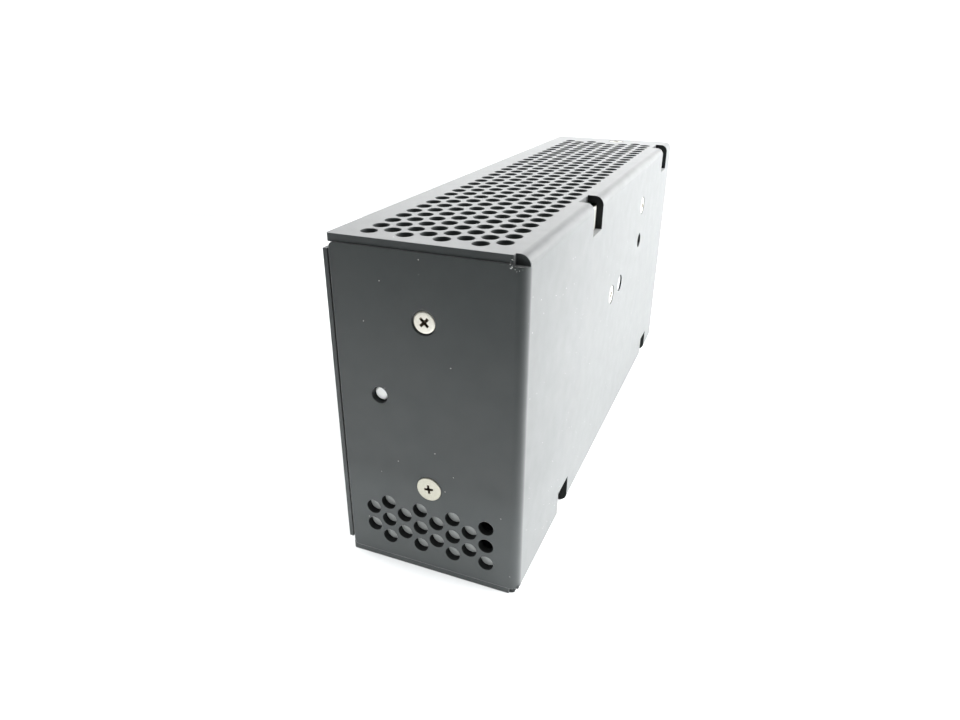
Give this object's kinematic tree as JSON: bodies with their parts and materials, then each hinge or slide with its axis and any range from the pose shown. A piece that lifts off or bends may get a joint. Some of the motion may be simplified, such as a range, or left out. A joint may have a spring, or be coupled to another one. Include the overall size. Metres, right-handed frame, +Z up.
{
  "type": "rail mounted power supply",
  "caption": "Narrow vented metal case holding a switch-mode power supply, with a screw terminal strip at one end and a spring clip for 35 mm rail.",
  "frame": {"origin": "middle of the whole object's bounding box in x and y, on the plane that the case rests on", "axes": "+Z up, +Y from the vented end to the terminal end, +X from the side with the rail clip to the broad wall"},
  "size_m": [0.0574, 0.1882, 0.092],
  "materials": {
    "case_paint": "satin dark grey powder coat",
    "zinc_steel": "zinc plated, satin",
    "nickel_brass": "nickel plated, satin",
    "nickel_screws": "nickel plated, bright",
    "insulating_film": "translucent ivory film",
    "white_nylon": "natural nylon",
    "board_laminate": "green solder mask",
    "plain_aluminium": "mill finish",
    "moulded_black": "moulded epoxy",
    "thermal_pad": "soft pad",
    "ferrite": "sintered, matte",
    "powder_core": "coated ring, yellow",
    "black_nylon": "glass filled nylon",
    "yellow_tape": "polyester tape",
    "enamelled_wire": "varnished copper wire",
    "blue_sleeve": "shrunk sleeve",
    "dark_sleeve": "shrunk sleeve",
    "yellow_case": "moulded box",
    "blue_ceramic": "dipped epoxy",
    "green_ceramic": "dipped epoxy",
    "fuse_glass": "clear",
    "tin_plate": "tin plated",
    "led_resin": "tinted resin",
    "blue_plastic": "moulded",
    "terminal_plastic": "moulded",
    "clear_plastic": "clear moulded plastic",
    "spring_steel": "drawn wire"
  },
  "bodies": {
    "case": {"chassis": "case_paint", "side_cover": "case_paint", "cover_brackets": "zinc_steel", "cover_nuts": "zinc_steel", "front_panel": "case_paint", "near_end_screws": "nickel_screws", "panel_screws": "nickel_screws", "cover_screws": "nickel_screws", "heatsink_screws": "nickel_screws", "wall_nut": "zinc_steel", "wall_post": "case_paint", "end_insulator": "insulating_film", "nylon_rivet": "white_nylon", "board_insulator": "insulating_film", "circuit_board": "board_laminate", "board_standoffs": "nickel_brass", "board_screws": "nickel_screws", "heatsink_spacers": "nickel_brass", "primary_heatsink": "plain_aluminium", "secondary_heatsink": "plain_aluminium", "switching_transistors": "moulded_black", "output_diodes": "moulded_black", "thermal_pads": "thermal_pad", "transistor_screws": "nickel_screws", "transformer_core": "ferrite", "transformer_bobbin": "black_nylon", "transformer_winding": "yellow_tape", "boost_choke_core": "ferrite", "boost_choke_bobbin": "black_nylon", "boost_choke_winding": "enamelled_wire", "line_choke_core": "ferrite", "line_choke_windings": "enamelled_wire", "output_choke_core": "powder_core", "output_choke_winding": "enamelled_wire", "bulk_capacitors": "blue_sleeve", "output_capacitors": "dark_sleeve", "line_capacitors": "yellow_case", "suppression_capacitors": "blue_ceramic", "bridge_rectifier": "moulded_black", "inrush_thermistor": "green_ceramic", "fuse_tube": "fuse_glass", "fuse_caps": "tin_plate", "fuse_clips": "tin_plate", "control_chip": "moulded_black", "optocouplers": "moulded_black", "status_led": "led_resin", "trimmer_body": "blue_plastic", "terminal_body": "terminal_plastic", "terminal_plates": "tin_plate", "terminal_clamps": "zinc_steel", "terminal_screws": "nickel_screws", "din_bracket": "zinc_steel", "latch_spring": "spring_steel", "din_screws": "nickel_screws"},
    "latch": {"din_latch": "black_nylon"},
    "adjuster": {"trimmer_rotor": "white_nylon"},
    "terminal_flap": {"terminal_cover": "clear_plastic"}
  },
  "joints": [
    {"name": "latch_slide", "type": "slide", "parent": "case", "child": "latch", "axis": [0, 0, -1], "range_m": [0, 0.0045], "stiffness_N_per_m": 2000, "springref_m": -0.003, "deforming": ["latch_spring"]},
    {"name": "adjuster_turn", "type": "hinge", "parent": "case", "child": "adjuster", "pos_m": [0.01565, 0.07612, 0.079], "axis": [0, -1, 0], "range_deg": [-130, 130]},
    {"name": "flap_hinge", "type": "hinge", "parent": "case", "child": "terminal_flap", "pos_m": [0.02285, 0.09033, 0.039], "axis": [0, 0, -1], "range_deg": [0, 105]}
  ]
}
